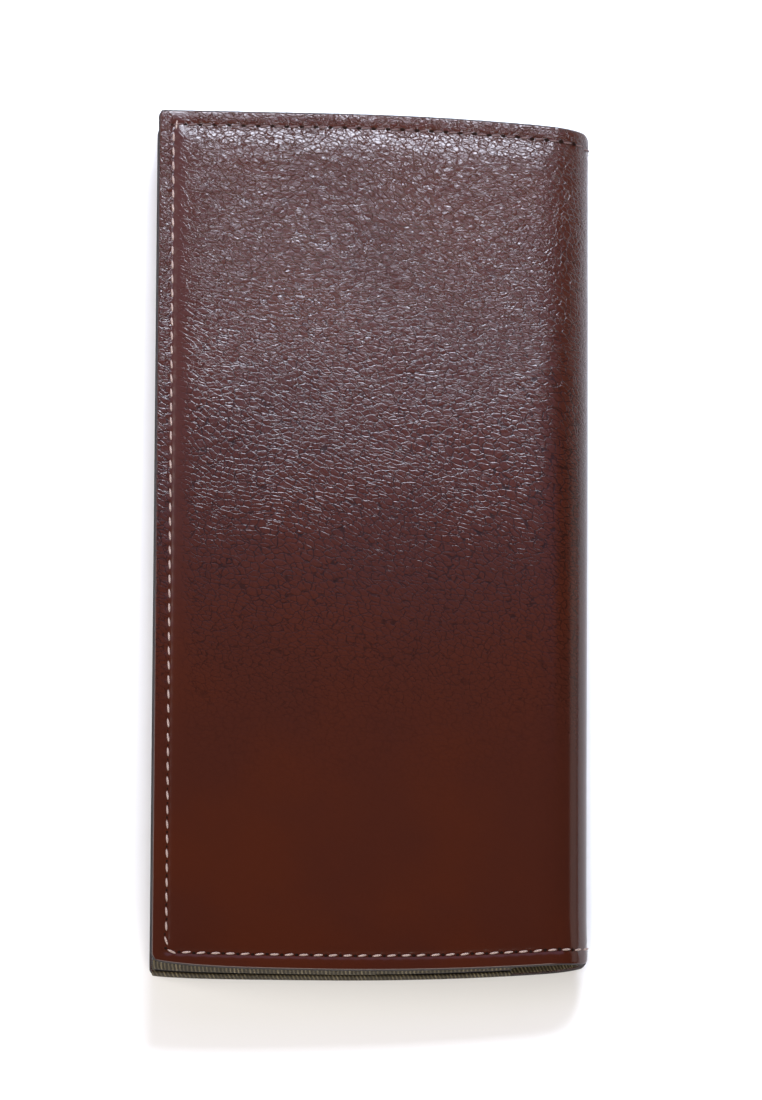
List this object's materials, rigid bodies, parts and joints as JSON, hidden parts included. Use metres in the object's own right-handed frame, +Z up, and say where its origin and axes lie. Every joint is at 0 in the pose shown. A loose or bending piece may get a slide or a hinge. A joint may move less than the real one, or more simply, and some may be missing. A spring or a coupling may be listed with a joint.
{
  "type": "long wallet",
  "caption": "Long bifold leather wallet that opens flat at a soft spine, with card slots, a full-length bill pocket and a zipped coin pocket.",
  "frame": {"origin": "centre of the closed wallet's footprint, on the surface that its back cover lies on", "axes": "+X from the free edge to the fold, +Y along the wallet's length, +Z up through the stack"},
  "size_m": [0.095, 0.19, 0.0191],
  "materials": {
    "leather": "dark red-brown pebbled leather, semi-matt",
    "inner_leather": "dark red-brown leather, fine grain",
    "board": "pressed fibre board",
    "twill": "olive-brown twill lining",
    "thread": "pale waxed thread",
    "brown_thread": "brown waxed thread",
    "tape": "woven zip tape",
    "zip_metal": "brushed antique brass"
  },
  "bodies": {
    "back_half": {"back_cover_leather": "leather", "back_stiffener_board": "board", "back_cover_lining": "twill", "back_bill_divider": "twill", "coin_pocket_lining": "twill", "coin_pocket_panel": "inner_leather", "slip_pocket": "inner_leather", "zip_tape_free_side": "tape", "zip_tape_fold_side": "tape", "zip_teeth_free_side": "zip_metal", "zip_teeth_fold_side": "zip_metal", "zip_top_stops": "zip_metal", "zip_bottom_stops": "zip_metal", "zip_thread": "brown_thread", "back_edge_thread": "thread"},
    "spine": {"spine_leather": "leather", "spine_lining": "twill", "spine_thread": "thread"},
    "front_half": {"front_cover_leather": "leather", "front_stiffener_board": "board", "front_cover_lining": "twill", "card_panel": "inner_leather", "card_slot_top_1": "inner_leather", "card_slot_top_2": "inner_leather", "card_slot_top_3": "inner_leather", "card_slot_top_4": "inner_leather", "card_slot_bottom_1": "inner_leather", "card_slot_bottom_2": "inner_leather", "card_slot_bottom_3": "inner_leather", "card_slot_bottom_4": "inner_leather", "card_column_thread": "brown_thread", "front_edge_thread": "thread"},
    "zip_slider": {"zip_slider": "zip_metal"},
    "zip_pull": {"zip_pull": "zip_metal"}
  },
  "joints": [
    {"name": "back_fold", "type": "hinge", "parent": "back_half", "child": "spine", "pos_m": [0.04466, 0, 0.00284], "axis": [0, 1, 0], "range_deg": [0, 88.9]},
    {"name": "front_fold", "type": "hinge", "parent": "spine", "child": "front_half", "pos_m": [0.04466, 0, 0.01316], "axis": [0, 1, 0], "range_deg": [0, 88.9]},
    {"name": "zip_slide", "type": "slide", "parent": "back_half", "child": "zip_slider", "axis": [0, -1, 0], "range_m": [0, 0.144]},
    {"name": "pull_swivel", "type": "hinge", "parent": "zip_slider", "child": "zip_pull", "pos_m": [0.024, 0.07095, 0.0078], "axis": [0, 0, 1], "range_deg": [-20, 20]}
  ],
  "couplings": [
    {"joint": "front_fold", "follows": "back_fold", "ratio": 1}
  ]
}
